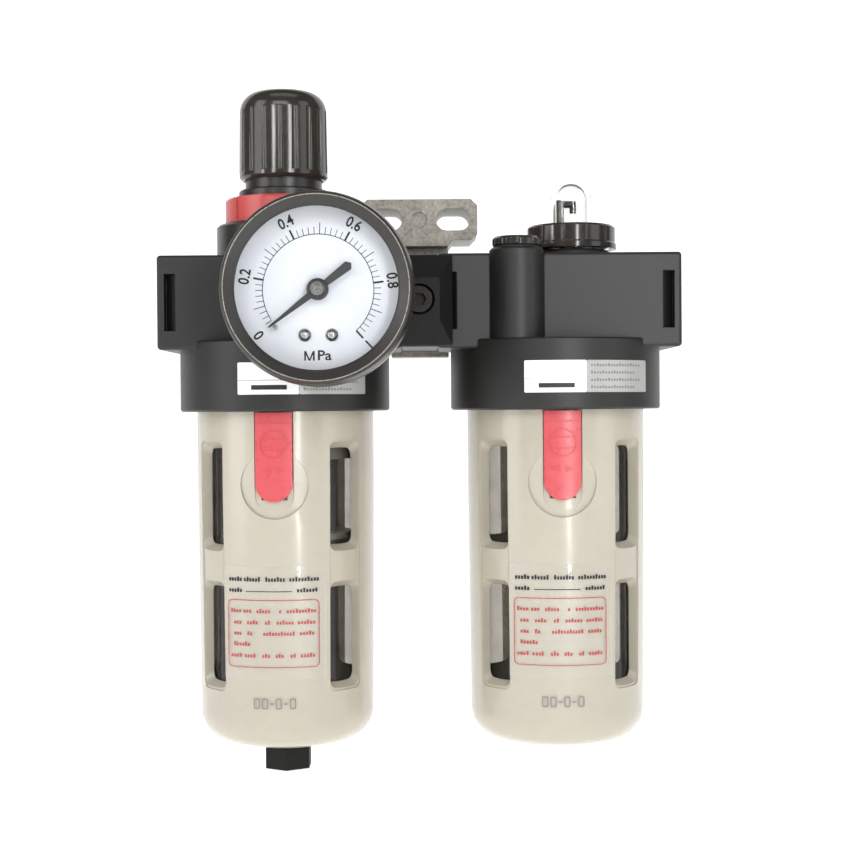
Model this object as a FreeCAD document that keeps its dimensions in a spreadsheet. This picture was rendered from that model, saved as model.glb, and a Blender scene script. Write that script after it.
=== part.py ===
"""Filter regulator and lubricator on one mounting bracket, as separate pieces.

Row frame, in millimetres: the origin is midway between the two slots of the bracket, on its
wall face.  +X runs from the inlet to the outlet, +Y goes into the wall and +Z is up.
"""
import FreeCAD, Part
import math
import os
import re
import Sketcher

V = FreeCAD.Vector
doc = FreeCAD.newDocument("filter_regulator_lubricator")
sheet = doc.addObject("Spreadsheet::Sheet", "dim")

SIZES = {
    # the two units and their port blocks
    "filter_x": -46, "lube_x": 46, "axis_y": -40, "port_z": -31,
    "block_width": 80, "block_deep": 46, "block_base": -46.5, "block_top": -15.5,
    "block_round": 1.2, "end_gap": 6, "port_radius": 7.48, "port_length": 13,
    "pocket_near": 33.7, "pocket_far": 37.5, "pocket_tall": 18.7, "pocket_deep": 4,
    "claw_near": 8.6, "claw_deep": 3.4,
    # collar with its bayonet
    "collar_radius": 35.5, "collar_base": -66.9, "collar_top": -43.7,
    "lip_radius": 30.6, "lip_top": -63.3, "groove_radius": 33, "groove_top": -56.4,
    "neck_bore": 26, "ceiling": -48.9, "core_radius": 12, "core_base": -57,
    "lug_radius": 32.6, "lug_angle": 36, "entry_angle": 42,
    # bowl and bowl guard
    "guard_radius": 30, "guard_inner": 26.2, "guard_base": -180.8, "guard_top": -57.2,
    "shoulder": -59.2, "corner_start": -168, "corner_end": -177.6, "corner_at": 20.8,
    "guard_foot": 29.3, "corner_round": 10, "drain_opening": 8.2,
    "window_width": 13.4, "window_round": 2.4, "window_angle": 49, "window_draft": 0.16,
    "window_slope": 0.65, "window_reach": 8, "window_clear": 4, "panel_deep": 0.4,
    "upper_low": -113.2, "upper_tall": 36.7, "lower_low": -158.6, "lower_tall": 36.4,
    "bowl_radius": 25.8, "bowl_wall": 2, "bowl_rim": 28, "bowl_top": -50.2,
    "bowl_base": -168, "bowl_round": 8,
    # release button
    "button_width": 12.1, "button_top": -67.2, "button_centre": -90.2, "button_face": 30.35,
    "dish_radius": 11.1, "dish_centre": -90.7, "dish_floor": 29, "tongue_width": 8, "tongue_floor": 27.4,
    "tongue_base": -88, "slot_base": -95.6,
    # regulator top
    "bonnet_radius": 22.8, "bonnet_top": -4, "ring_radius": 19.9, "ring_top": 4.9,
    "ring_lip": 1.2, "notch_deep": 0.8, "notch_angle": 32,
    "flange_radius": 15.2, "flange_top": 8, "neck_radius": 13, "neck_top": 28,
    "knob_radius": 15.05, "knob_base": 11.4, "knob_top": 41.7, "knob_shoulder": 35,
    # regulating works
    "seat_z": -36, "element_radius": 16.9, "element_tall": 47.6, "skirt_tall": 26.6,
    "plate_top": -14.4, "nut_base": 14.6, "nut_top": 20, "spring_mean": 9.3,
    "spring_wire": 1.3, "spring_pitch": 5.1, "stem_radius": 1.5,
    # gauge
    "gauge_x": -31.2, "gauge_z": -29.3, "gauge_back": -77, "gauge_radius": 30,
    "gauge_deep": 25, "dial_opening": 25, "dial_face": 14.2, "case_radius": 28.6,
    "sector_pitch": 12, "pinion_pitch": 2, "arbor_radius": 0.8,
    # sight glass and filler
    "sight_x": 51.8, "land_top": -14.6, "sight_base": -12.7, "sight_top": -4.7,
    "sight_radius": 15.4, "dome_radius": 7, "dome_top": 12, "sight_bore": 11,
    "fill_x": 32, "fill_y": -62, "fill_radius": 9, "fill_top": -14, "plug_radius": 8,
    "plug_top": -11.2, "siphon_y": -31, "damper_x": 26,
    # bracket, clamp and drain
    "wing_half": 20.5, "wing_rise": 7.2, "wing_front": -24, "wing_chamfer": 2.3,
    "wing_neck": 9.3, "neck_flare": 1.6, "stem_half": 10.2,
    "stem_base": -48, "slot_spacing": 24, "slot_length": 12, "slot_radius": 3.8,
    "clamp_half": 10.8, "clamp_front": -71, "screw_radius": 2.4,
    "drain_across": 14.8, "drain_top": -180.9, "drain_base": -188.2,
}
for row, (word, size) in enumerate(SIZES.items(), 1):
    sheet.set("A%d" % row, word)
    sheet.set("B%d" % row, str(size))
    sheet.setAlias("B%d" % row, word)
doc.recompute()

NODES = []
WORDS = re.compile(r"\b(" + "|".join(SIZES) + r")\b")
AXES = {"x": (V(0, 1, 0), 90), "y": (V(1, 0, 0), -90), "z": (V(0, 0, 1), 0),
        "front": (V(1, 0, 0), 90)}


def bound(text):
    """An expression on the sheet's cells."""
    return WORDS.sub(r"dim.\1", str(text))


def number(text):
    """The value of an expression."""
    return float(sheet.evalExpression(bound(text)))


def place(thing, spot, axis="z", turn=0):
    """Put an object at a spot whose three places are bound, its own +Z along axis."""
    lay = FreeCAD.Rotation(*AXES[axis])
    spin = FreeCAD.Rotation(V(0, 0, 1), turn)
    thing.Placement = FreeCAD.Placement(V(*[number(text) for text in spot]), spin.multiply(lay))
    for name, text in zip("xyz", spot):
        thing.setExpression("Placement.Base." + name, bound(text))
    return thing


def add(kind, name, **sizes):
    thing = doc.addObject(kind, name)
    for key, text in sizes.items():
        thing.setExpression(key, bound(text))
    return thing


def box(name, low, size, turn=0):
    """A block from its low corner."""
    thing = add("Part::Box", name, Length=size[0], Width=size[1], Height=size[2])
    return place(thing, low, turn=turn)


def rod(name, radius, length, spot, axis="z", angle=360, turn=0):
    """A round bar, or a sector of one."""
    thing = add("Part::Cylinder", name, Radius=radius, Height=length)
    thing.Angle = angle
    return place(thing, spot, axis, turn)


def torus(name, mean, section, spot, axis="z"):
    thing = add("Part::Torus", name, Radius1=mean, Radius2=section)
    return place(thing, spot, axis)


def fuse(name, things):
    thing = doc.addObject("Part::MultiFuse", name)
    thing.Shapes = things
    return thing


def cut(name, base, tools):
    """The base less every tool."""
    thing = doc.addObject("Part::Cut", name)
    thing.Base = base
    thing.Tool = tools[0] if len(tools) == 1 else fuse(name + "_tools", tools)
    return thing


def common(name, one, other):
    thing = doc.addObject("Part::Common", name)
    thing.Base = one
    thing.Tool = other
    return thing


def outline(sketch, points):
    """A closed outline; each point is bound, and may start an arc of a bound radius."""
    spots = [V(number(point[0]), number(point[1]), 0) for point in points]
    count = len(spots)
    ends = []
    for at, point in enumerate(points):
        here, there = spots[at], spots[(at + 1) % count]
        if len(point) == 2:
            sketch.addGeometry(Part.LineSegment(here, there), False)
            ends.append((1, 2))
            continue
        side = 1 if point[2] == "left" else -1
        radius = number(point[3])
        chord = there - here
        rise = math.sqrt(radius ** 2 - (chord.Length / 2) ** 2) * side
        centre = (here + there) / 2 + V(-chord.y, chord.x, 0).normalize() * rise
        first, last = (here, there) if side > 0 else (there, here)
        start = math.atan2(first.y - centre.y, first.x - centre.x)
        stop = math.atan2(last.y - centre.y, last.x - centre.x)
        circle = Part.Circle(centre, V(0, 0, 1), radius)
        sketch.addGeometry(Part.ArcOfCircle(circle, start, stop), False)
        ends.append((1, 2) if side > 0 else (2, 1))
    for at, point in enumerate(points):
        after = (at + 1) % count
        sketch.addConstraint(Sketcher.Constraint("Coincident", at, ends[at][1], after, ends[after][0]))
        if len(point) == 4:
            held = sketch.addConstraint(Sketcher.Constraint("Radius", at, number(point[3])))
            sketch.setExpression("Constraints[%d]" % held, bound(point[3]))
        for kind, text, value, line in (("DistanceX", point[0], spots[at].x, -2),
                                        ("DistanceY", point[1], spots[at].y, -1)):
            if abs(value) < 1e-9:
                sketch.addConstraint(Sketcher.Constraint("PointOnObject", at, ends[at][0], line))
                continue
            held = sketch.addConstraint(Sketcher.Constraint(kind, -1, 1, at, ends[at][0], value))
            sketch.setExpression("Constraints[%d]" % held, bound(text))


def sketch_on(body, role, name):
    plane = [item for item in body.Origin.OriginFeatures if item.Role == role][0]
    sketch = body.newObject("Sketcher::SketchObject", name)
    sketch.AttachmentSupport = [(plane, "")]
    sketch.MapMode = "FlatFace"
    return sketch


def cap_round(reach, rise):
    """Radius of the ball that rises by rise over a flat distance of reach from its pole."""
    return "((%s) ^ 2 + (%s) ^ 2) / (2 * (%s))" % (reach, rise, rise)


def turned(name, points, spot, axis="z"):
    """A piece turned about its own Z from (radius, height) points."""
    body = doc.addObject("PartDesign::Body", name)
    sketch = sketch_on(body, "XZ_Plane", name + "_profile")
    outline(sketch, points)
    feature = body.newObject("PartDesign::Revolution", name + "_turning")
    feature.Profile = sketch
    feature.ReferenceAxis = (sketch, ["V_Axis"])
    feature.Angle = 360
    return place(body, spot, axis)


def padded(name, points, length, spot, axis="z"):
    """A piece of one section, raised along its own Z."""
    body = doc.addObject("PartDesign::Body", name)
    sketch = sketch_on(body, "XY_Plane", name + "_section")
    outline(sketch, points)
    feature = body.newObject("PartDesign::Pad", name + "_pad")
    feature.Profile = sketch
    feature.setExpression("Length", bound(length))
    return place(body, spot, axis)


def coil(name, mean, wire, pitch, rise, spot):
    """A round-wire spring, its lowest wire on the spot's level."""
    body = doc.addObject("PartDesign::Body", name)
    sketch = sketch_on(body, "XZ_Plane", name + "_wire")
    sketch.addGeometry(Part.Circle(V(number(mean), number(wire), 0), V(0, 0, 1), number(wire)), False)
    for kind, value, text in (("DistanceX", number(mean), mean), ("DistanceY", number(wire), wire)):
        held = sketch.addConstraint(Sketcher.Constraint(kind, -1, 1, 0, 3, value))
        sketch.setExpression("Constraints[%d]" % held, bound(text))
    held = sketch.addConstraint(Sketcher.Constraint("Radius", 0, number(wire)))
    sketch.setExpression("Constraints[%d]" % held, bound(wire))
    doc.recompute()
    feature = body.newObject("PartDesign::AdditiveHelix", name + "_coils")
    feature.Profile = sketch
    feature.ReferenceAxis = (sketch, ["V_Axis"])
    feature.Mode = 0
    feature.setExpression("Pitch", bound(pitch))
    feature.setExpression("Height", bound(rise))
    return place(body, spot)


def tapered(name, near, far, face, before, depths, low, tall):
    """An upright block between two places in x, with its own depth from a face at each."""
    return padded(name, [(near, before), (far, before), (far, depths[1]), (near, depths[0])], tall,
                  ("0", face, low))


def node(thing, name):
    """Name a finished piece."""
    thing.Label = name
    NODES.append(thing)
    return thing


# ---------------------------------------------------------------- shared by both units

def port_block(tag, x):
    """The block between the ports, with the collar under it."""
    block = box(tag + "_block", (x + " - block_width / 2", "axis_y - block_deep / 2", "block_base"),
                ("block_width", "block_deep", "block_top - block_base"))
    rounded = doc.addObject("Part::Fillet", tag + "_rounded")
    rounded.Base = block
    rounded.Edges = [(edge, number("block_round"), number("block_round")) for edge in range(1, 13)]
    tall = "collar_top - collar_base"
    collar = turned(tag + "_collar", [("0", "0"), ("collar_radius - 0.6", "0"), ("collar_radius", "0.6"),
                                      ("collar_radius", tall + " - 0.4"), ("collar_radius - 0.4", tall),
                                      ("0", tall)], (x, "axis_y", "collar_base"))
    return [rounded, collar]


def collar_cavity(tag, x):
    """Room under the collar: bayonet lip and groove, bowl neck, and the core left standing."""
    deep = "0.1"
    up = " - collar_base + 0.1"
    cavity = turned(tag + "_cavity", [
        ("0", "0"), ("lip_radius", "0"), ("lip_radius", "lip_top" + up), ("groove_radius", "lip_top" + up),
        ("groove_radius", "groove_top" + up), ("neck_bore", "groove_top" + up),
        ("neck_bore", "ceiling" + up), ("core_radius", "ceiling" + up),
        ("core_radius", "core_base" + up), ("0", "core_base" + up)], (x, "axis_y", "collar_base - " + deep))
    entries = [rod("%s_entry_%d" % (tag, at), "groove_radius - 0.15", "lip_top - collar_base + 0.4",
                   (x, "axis_y", "collar_base - 0.2"), angle=number("entry_angle"),
                   turn=45 + 90 * at - number("entry_angle") / 2) for at in range(4)]
    return [cavity] + entries


def pockets(tag, x):
    """Wedge-shaped clamp pockets on the front and rear faces, near both ends."""
    tools = []
    for end, sign in (("in", " - "), ("out", " + ")):
        for face, way in (("front", -1), ("rear", 1)):
            tools.append(tapered("%s_pocket_%s_%s" % (tag, end, face), x + sign + "pocket_near",
                                 x + sign + "pocket_far", "axis_y + %d * block_deep / 2" % way,
                                 str(way), ("0", "%d * pocket_deep" % -way),
                                 "port_z - pocket_tall / 2", "pocket_tall"))
    return tools


def radial_block(name, x, angle, low, tall, draft, slope):
    """Round-cornered block through a guard's wall, narrowing inwards by its draft and slope."""
    half = "window_width / 2"
    block = add("Part::Wedge", name, Ymin="0", Ymax="window_reach + window_clear",
                Xmin="window_reach * %s - %s" % (draft, half), Xmax="%s - window_reach * %s" % (half, draft),
                X2min="-window_clear * %s - %s" % (draft, half), X2max="%s + window_clear * %s" % (half, draft),
                Zmin="window_reach * " + slope, Zmax="%s - window_reach * %s" % (tall, slope),
                Z2min="-window_clear * " + slope, Z2max="%s + window_clear * %s" % (tall, slope))
    place(block, (x + " + (guard_radius - window_reach) * %.6f" % math.cos(angle),
                  "axis_y + (guard_radius - window_reach) * %.6f" % math.sin(angle), low),
          turn=math.degrees(angle) - 90)
    rounded = doc.addObject("Part::Fillet", name + "_rounded")
    rounded.Base = block
    rounded.Edges = [(edge, number("window_round"), number("window_round")) for edge in (2, 4, 6, 8)]
    return rounded


def window_cutters(tag, x):
    """Cutters for a bowl guard's eight windows and for the four shallow panels they stand in."""
    windows = []
    panels = []
    for at, face in enumerate((-90, -90, 90, 90)):
        angle = math.radians(face + (-1) ** at * number("window_angle"))
        panels.append(radial_block("%s_panel_%d" % (tag, at), x, angle, "lower_low",
                                   "(upper_low + upper_tall - lower_low)", "0", "0"))
        for row in ("upper", "lower"):
            windows.append(radial_block("%s_window_%s_%d" % (tag, row, at), x, angle, row + "_low",
                                        row + "_tall", "window_draft", "window_slope"))
    skin = turned(tag + "_panel_skin", [
        ("guard_foot - panel_deep", "0"), ("guard_radius + 4", "0"), ("guard_radius + 4", "100"),
        ("guard_radius - panel_deep", "100"),
        ("guard_radius - panel_deep", "button_centre - corner_start")], (x, "axis_y", "corner_start"))
    return windows + [common(tag + "_panel_cut", fuse(tag + "_panels", panels), skin)]


def shell_ring(name, inner, outer, low, tall, x):
    """A ring about a unit's axis."""
    return turned(name, [(inner, "0"), (outer, "0"), (outer, tall), (inner, tall)], (x, "axis_y", low))


def bowl_guard(unit, x, opening):
    """Slotted plastic guard with four bayonet lugs and the channel of its release button."""
    up = " - guard_base"
    ball = cap_round("corner_at", "corner_end" + up)
    wall = [("guard_inner", "corner_start" + up), ("guard_inner", "shoulder" + up),
            ("bowl_rim + 0.3", "shoulder" + up), ("bowl_rim + 0.3", "guard_top" + up),
            ("guard_radius", "guard_top" + up), ("guard_radius", "button_centre" + up),
            ("guard_foot", "corner_start" + up, "right", "corner_round"),
            ("corner_at", "corner_end" + up, "right", ball),
            (opening, "%s - sqrt((%s) ^ 2 - (%s) ^ 2)" % (ball, ball, opening)),
            (opening, "3"), ("corner_at - 2", "corner_end + 3" + up)]
    shell = turned(unit + "_shell", wall, (x, "axis_y", "guard_base"))
    lugs = [rod("%s_lug_%d" % (unit, at), "lug_radius", "3.6", (x, "axis_y", "lip_top + 0.2"),
                angle=number("lug_angle"), turn=90 * at - number("lug_angle") / 2) for at in range(4)]
    bore = rod(unit + "_lug_bore", "bowl_rim + 1", "6", (x, "axis_y", "lip_top - 1"))
    ears = cut(unit + "_ears", fuse(unit + "_lugs", lugs), [bore])
    face = "axis_y - guard_radius - 4"
    run = common(unit + "_run_cut", fuse(unit + "_channel", [
        rod(unit + "_run_end", "button_width / 2 + 0.3", "8",
            (x, face + " + 8", "button_centre - 3.6"), "front"),
        box(unit + "_run", (x + " - button_width / 2 - 0.3", face, "button_centre - 3.6"),
            ("button_width + 0.6", "10", "guard_top - button_centre + 4.6"))]),
        shell_ring(unit + "_run_ring", "dish_floor", "guard_radius + 4", "-110", "60", x))
    dish = common(unit + "_dish_cut",
                  rod(unit + "_dish", "dish_radius", "8", (x, face + " + 8", "dish_centre"), "front"),
                  turned(unit + "_dish_cone", [
                      ("dish_floor - 0.15", "0"), ("guard_radius + 4", "0"),
                      ("guard_radius + 4", "2 * dish_radius"), ("guard_radius + 0.1", "2 * dish_radius")],
                      (x, "axis_y", "dish_centre - dish_radius")))
    slot = common(unit + "_slot_cut",
                  box(unit + "_slot", (x + " - tongue_width / 2 - 0.2", face, "slot_base"),
                      ("tongue_width + 0.4", "12", "collar_base - slot_base")),
                  shell_ring(unit + "_slot_ring", "tongue_floor", "guard_radius + 4", "-110", "60", x))
    whole = fuse(unit + "_whole", [shell, ears])
    return cut(unit + "_guard_piece", whole, window_cutters(unit, x) + [run, dish, slot])


def release_button(unit, x):
    """Button plate on the guard's face, with the tongue that runs in the guard's slot."""
    face = "axis_y - guard_radius - 4"
    plate = common(unit + "_plate", fuse(unit + "_plate_outline", [
        rod(unit + "_plate_end", "button_width / 2", "8", (x, face + " + 8", "button_centre"), "front"),
        box(unit + "_plate_run", (x + " - button_width / 2", face, "button_centre"),
            ("button_width", "10", "button_top - button_centre"))]),
        shell_ring(unit + "_plate_ring", "dish_floor + 0.05", "button_face", "-110", "60", x))
    tongue = common(unit + "_tongue",
                    box(unit + "_tongue_block", (x + " - tongue_width / 2", face, "tongue_base"),
                        ("tongue_width", "12", "button_top - tongue_base - 0.5")),
                    shell_ring(unit + "_tongue_ring", "tongue_floor + 0.1", "dish_floor + 0.2",
                               "-110", "60", x))
    return fuse(unit + "_button_piece", [plate, tongue])


def bowl(unit, x, opening):
    """Clear bowl: neck for the seal, rim on the guard's shoulder, and a rounded foot."""
    up = " - bowl_base"
    inner = "bowl_radius - bowl_wall"
    profile = [(opening, "0"), ("bowl_radius - bowl_round", "0", "left", "bowl_round"),
               ("bowl_radius", "bowl_round"), ("bowl_radius", "shoulder + 0.2" + up),
               ("bowl_rim", "shoulder + 0.2" + up), ("bowl_rim", "shoulder + 2.6" + up),
               ("25.5", "shoulder + 2.6" + up), ("25.5", "bowl_top - 3.6" + up),
               ("24.3", "bowl_top - 3.6" + up), ("24.3", "bowl_top - 1.6" + up),
               ("25.5", "bowl_top - 1.6" + up), ("25.5", "bowl_top" + up),
               (inner + " - 1", "bowl_top" + up), (inner, "shoulder - 2" + up),
               (inner, "bowl_round", "right", "bowl_round - bowl_wall"),
               ("bowl_radius - bowl_round", "bowl_wall"), (opening, "bowl_wall")]
    return turned(unit + "_bowl_piece", profile, (x, "axis_y", "bowl_base"))


def swung(thing, x, turn):
    """Turn a finished piece about a unit's axis."""
    about = FreeCAD.Placement(V(), FreeCAD.Rotation(V(0, 0, 1), turn), V(number(x), number("axis_y"), 0))
    thing.Placement = about.multiply(thing.Placement)
    return thing


for unit, x, turn in (("filter", "filter_x", -2.8), ("lubricator", "lube_x", 0)):
    opening = "drain_opening" if unit == "filter" else "0"
    node(swung(bowl_guard(unit, x, opening), x, turn), unit + "_guard")
    node(bowl(unit, x, "4.6" if unit == "filter" else "0"), unit + "_bowl")
    node(torus(unit + "_neck_ring", "25.05", "0.75", (x, "axis_y", "bowl_top - 2.6")), unit + "_bowl_seal")
    node(swung(release_button(unit, x), x, turn), unit + "_button")
    reach = "(dish_floor - 0.8) * "
    spring = coil(unit + "_return_coil", "0.5", "0.16", "1.2", "tongue_base - slot_base - 0.6",
                  (x + " + %s%.6f" % (reach, math.sin(math.radians(turn))),
                   "axis_y - %s%.6f" % (reach, math.cos(math.radians(turn))), "slot_base + 0.1"))
    node(spring, unit + "_button_spring")

# ---------------------------------------------------------------- filter regulator body

regulator_tools = collar_cavity("regulator", "filter_x") + pockets("regulator", "filter_x") + [
    rod("diaphragm_room", "19.5", "6", ("filter_x", "axis_y", "block_top - 5")),
    rod("diaphragm_ledge", "22", "3", ("filter_x", "axis_y", "block_top - 1.6")),
    rod("outlet_room", "8", "10.5", ("filter_x", "axis_y", "seat_z + 2")),
    rod("stem_way", "stem_radius + 0.1", "8", ("filter_x", "axis_y", "block_top - 10")),
    rod("seat_hole", "4.2", "4", ("filter_x", "axis_y", "seat_z - 1")),
    rod("valve_room", "8", "seat_z - core_base + 1", ("filter_x", "axis_y", "core_base - 1")),
    rod("inlet_thread", "port_radius", "port_length + 1",
        ("filter_x - block_width / 2 - 1", "axis_y", "port_z"), "x"),
    rod("inlet_way", "5.2", "14", ("filter_x - block_width / 2 + port_length - 1", "axis_y", "port_z"), "x"),
    rod("inlet_drop", "4", "20", ("filter_x - 17", "axis_y", "port_z - 19")),
    rod("outlet_way", "4.6", "33", ("filter_x + 6.5", "axis_y", "port_z"), "x"),
    rod("outlet_groove", "8.2", "2.3", ("-end_gap - 1.3", "axis_y", "port_z"), "x"),
    rod("gauge_thread", "5", "13", ("gauge_x", "axis_y - block_deep / 2 + 5", "gauge_z"), "front"),
    rod("gauge_way", "2", "18", ("gauge_x", "axis_y - 3", "gauge_z"), "front"),
]
gauge_boss = rod("gauge_boss", "9", "7.5", ("gauge_x", "axis_y - block_deep / 2 + 0.5", "gauge_z"), "front")
node(cut("regulator_casting", fuse("regulator_rough", port_block("regulator", "filter_x") + [gauge_boss]),
         regulator_tools), "regulator_body")

# ---------------------------------------------------------------- lubricator body

lubricator_tools = collar_cavity("lubricator", "lube_x") + pockets("lubricator", "lube_x") + [
    rod("outlet_thread", "port_radius", "port_length + 1",
        ("lube_x + block_width / 2 - port_length", "axis_y", "port_z"), "x"),
    rod("flow_way", "6.5", "block_width - port_length + 1", ("end_gap - 0.5", "axis_y", "port_z"), "x"),
    rod("inlet_groove", "8.2", "2.3", ("end_gap - 1", "axis_y", "port_z"), "x"),
    rod("sight_room", "sight_bore", "7.4", ("sight_x", "axis_y", "land_top - 6.4")),
    rod("needle_way", "1.1", "6", ("sight_x", "axis_y", "land_top - 11")),
    rod("oil_way", "1.6", "32", ("sight_x", "siphon_y", "-52")),
    rod("siphon_socket", "2.05", "7", ("sight_x", "siphon_y", "core_base - 1")),
    rod("fill_thread", "6.6", "12", ("fill_x", "fill_y", "fill_top - 11")),
    rod("fill_seat", "7.9", "2", ("fill_x", "fill_y", "fill_top - 1")),
    rod("damper_holes", "0.5", "12", ("damper_x", "axis_y + 6", "port_z + 4.2"), "front"),
]
slant = rod("fill_way", "3.6", "33", ("fill_x", "fill_y", "fill_top - 9"))
slant.Placement.Rotation = FreeCAD.Rotation(V(0, 0, 1), V(0.2, 0.28, -1))
land = rod("sight_land", "17.4", "land_top - block_top + 1", ("sight_x", "axis_y", "block_top - 1"))
fill_boss = turned("fill_boss", [("0", "0"), ("fill_radius", "0"), ("fill_radius", "fill_top - collar_top"),
                                 ("fill_radius - 0.8", "fill_top - collar_top + 0.8"),
                                 ("0", "fill_top - collar_top + 0.8")],
                   ("fill_x", "fill_y", "collar_top - 0.8"))
node(cut("lubricator_casting",
         fuse("lubricator_rough", port_block("lubricator", "lube_x") + [land, fill_boss]),
         lubricator_tools + [slant]), "lubricator_body")

# ---------------------------------------------------------------- bracket, spacer and clamp

WING = [("-wing_half", "wing_chamfer - wing_rise"), ("wing_chamfer - wing_half", "-wing_rise"),
        ("-stem_half - neck_flare", "-wing_rise"), ("-stem_half", "-wing_neck"),
        ("stem_half", "-wing_neck"), ("stem_half + neck_flare", "-wing_rise"),
        ("wing_half - wing_chamfer", "-wing_rise"), ("wing_half", "wing_chamfer - wing_rise"),
        ("wing_half", "wing_rise - wing_chamfer"), ("wing_half - wing_chamfer", "wing_rise"),
        ("wing_chamfer - wing_half", "wing_rise"), ("-wing_half", "wing_rise - wing_chamfer")]
wing = padded("bracket_wing", WING, "-wing_front", ("0", "0", "0"), "front")
stem = box("bracket_stem", ("-stem_half", "axis_y + block_deep / 2", "stem_base"),
           ("2 * stem_half", "-axis_y - block_deep / 2", "-stem_base - 3"))
claws = [tapered("bracket_claw_%d" % (side > 0), "%d * claw_near" % side, "%d * stem_half" % side,
                 "axis_y + block_deep / 2", "0.5", ("-claw_deep", "-1.6"),
                 "port_z - pocket_tall / 2 + 0.2", "pocket_tall - 0.4") for side in (-1, 1)]
slots = []
for side in (-1, 1):
    middle = "%d * slot_spacing / 2" % side
    reach = "slot_length / 2 - slot_radius"
    tag = "slot_%d" % (side > 0)
    slots.append(box(tag + "_run", ("%s - (%s)" % (middle, reach), "wing_front - 1", "-slot_radius"),
                     ("2 * (%s)" % reach, "2 - wing_front", "2 * slot_radius")))
    for end in (-1, 1):
        slots.append(rod("%s_end_%d" % (tag, end > 0), "slot_radius", "2 - wing_front",
                         ("%s + %d * (%s)" % (middle, end, reach), "1", "0"), "front"))
hollows = [box("bracket_hollow", ("2.6 - stem_half", "axis_y + block_deep / 2 + 4", "stem_base + 2.6"),
               ("2 * stem_half - 5.2", "30", "-stem_base - 12")),
           rod("wall_screw_hole", "screw_radius + 0.2", "10", ("0", "axis_y + block_deep / 2 + 5", "port_z"),
               "front"),
           rod("pin_mark", "2.65", "1.3", ("0", "wing_front + 0.3", "0"), "front")]
node(cut("bracket_casting", fuse("bracket_rough", [wing, stem] + claws), slots + hollows), "mounting_bracket")

spacer = box("spacer_rough", ("-end_gap", "axis_y - block_deep / 2 + 0.2", "port_z - 15"),
             ("2 * end_gap", "block_deep - 0.4", "30"))
node(cut("spacer_plate", spacer, [
    rod("spacer_bore", "6", "4 * end_gap", ("-2 * end_gap", "axis_y", "port_z"), "x"),
    rod("spacer_front_tap", "screw_radius + 0.1", "14",
        ("0", "axis_y - block_deep / 2 + 13.6", "port_z"), "front"),
    rod("spacer_rear_tap", "screw_radius + 0.1", "14",
        ("0", "axis_y + block_deep / 2 + 0.4", "port_z"), "front"),
]), "spacer_block")
node(fuse("seal_pair", [torus("seal_%d" % (side > 0), "7.3", "0.62",
                              ("%d * (end_gap + 0.64)" % side, "axis_y", "port_z"), "x")
                        for side in (-1, 1)]), "spacer_seals")

clamp_back = "axis_y - block_deep / 2 - 0.2"
clamp = doc.addObject("Part::Wedge", "clamp_pyramid")
for corner, text in (("Xmin", "-clamp_half"), ("Xmax", "clamp_half"), ("Zmin", "-14.6"), ("Zmax", "14.6"),
                     ("X2min", "-6.6"), ("X2max", "6.6"), ("Z2min", "-6.85"), ("Z2max", "6.85"),
                     ("Ymin", "0"), ("Ymax", clamp_back + " - 2 - clamp_front")):
    clamp.setExpression(corner, bound(text))
place(clamp, ("0", clamp_back + " - 2", "port_z"), turn=180)
clamp_plate = box("clamp_plate", ("-clamp_half", clamp_back + " - 2", "port_z - 14.6"),
                  ("2 * clamp_half", "2", "29.2"))
clamp_claws = [tapered("clamp_claw_%d" % (side > 0), "%d * claw_near" % side, "%d * clamp_half" % side,
                       "axis_y - block_deep / 2", "-0.7", ("claw_deep", "0.8"),
                       "port_z - pocket_tall / 2 + 0.2", "pocket_tall - 0.4") for side in (-1, 1)]
node(cut("clamp_casting", fuse("clamp_rough", [clamp, clamp_plate] + clamp_claws), [
    rod("clamp_counterbore", "5", "8", ("0", "clamp_front + 5.4", "port_z"), "front"),
    rod("clamp_hole", "screw_radius + 0.2", "20", ("0", "axis_y - 15", "port_z"), "front")]), "front_clamp")


def cap_screw(tag, seat, away, shank):
    """Socket-head screw whose head rests on a seat and points its shank along +Y or -Y."""
    head_at, shank_at = (("front", "y") if away < 0 else ("y", "front"))
    head = rod(tag + "_head", "4.25", "5", ("0", seat, "port_z"), head_at)
    thread = rod(tag + "_thread", "screw_radius", shank,
                 ("0", "%s + %g" % (seat, away * 0.5), "port_z"), shank_at)
    socket = Part.makePolygon([V(2.3 * math.cos(turn), 2.3 * math.sin(turn), 0)
                               for turn in [math.radians(60 * side) for side in range(7)]])
    bit = doc.addObject("Part::Feature", tag + "_bit")
    bit.Shape = Part.Face(socket).extrude(V(0, 0, 3))
    place(bit, ("0", "%s + %g" % (seat, away * 2.4), "port_z"), head_at)
    return cut(tag + "_screw", fuse(tag + "_blank", [head, thread]), [bit])


node(fuse("screw_pair", [cap_screw("clamp", "clamp_front + 5.4", -1, "15.5"),
                         cap_screw("bracket", "axis_y + block_deep / 2 + 4", 1, "17")]), "clamp_screws")

# ---------------------------------------------------------------- bonnet, knob and spring

up = " - block_top"
node(turned("bonnet_shell", [
    ("19.5", "0"), ("bonnet_radius - 0.5", "0"), ("bonnet_radius", "0.5"),
    ("bonnet_radius", "bonnet_top - 0.8" + up),
    ("bonnet_radius - 0.8", "bonnet_top" + up), ("14.9", "bonnet_top" + up), ("14.9", "ring_top" + up),
    ("flange_radius", "ring_top" + up), ("flange_radius", "flange_top - 0.5" + up),
    ("flange_radius - 0.5", "flange_top" + up), ("neck_radius", "flange_top" + up),
    ("neck_radius", "neck_top" + up), ("4", "neck_top" + up), ("4", "neck_top - 4" + up),
    ("11.2", "neck_top - 4" + up), ("11.2", "9.5"), ("14", "9.5"), ("14", "3.5"), ("19.5", "3.5")],
    ("filter_x", "axis_y", "block_top")), "bonnet")

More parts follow.
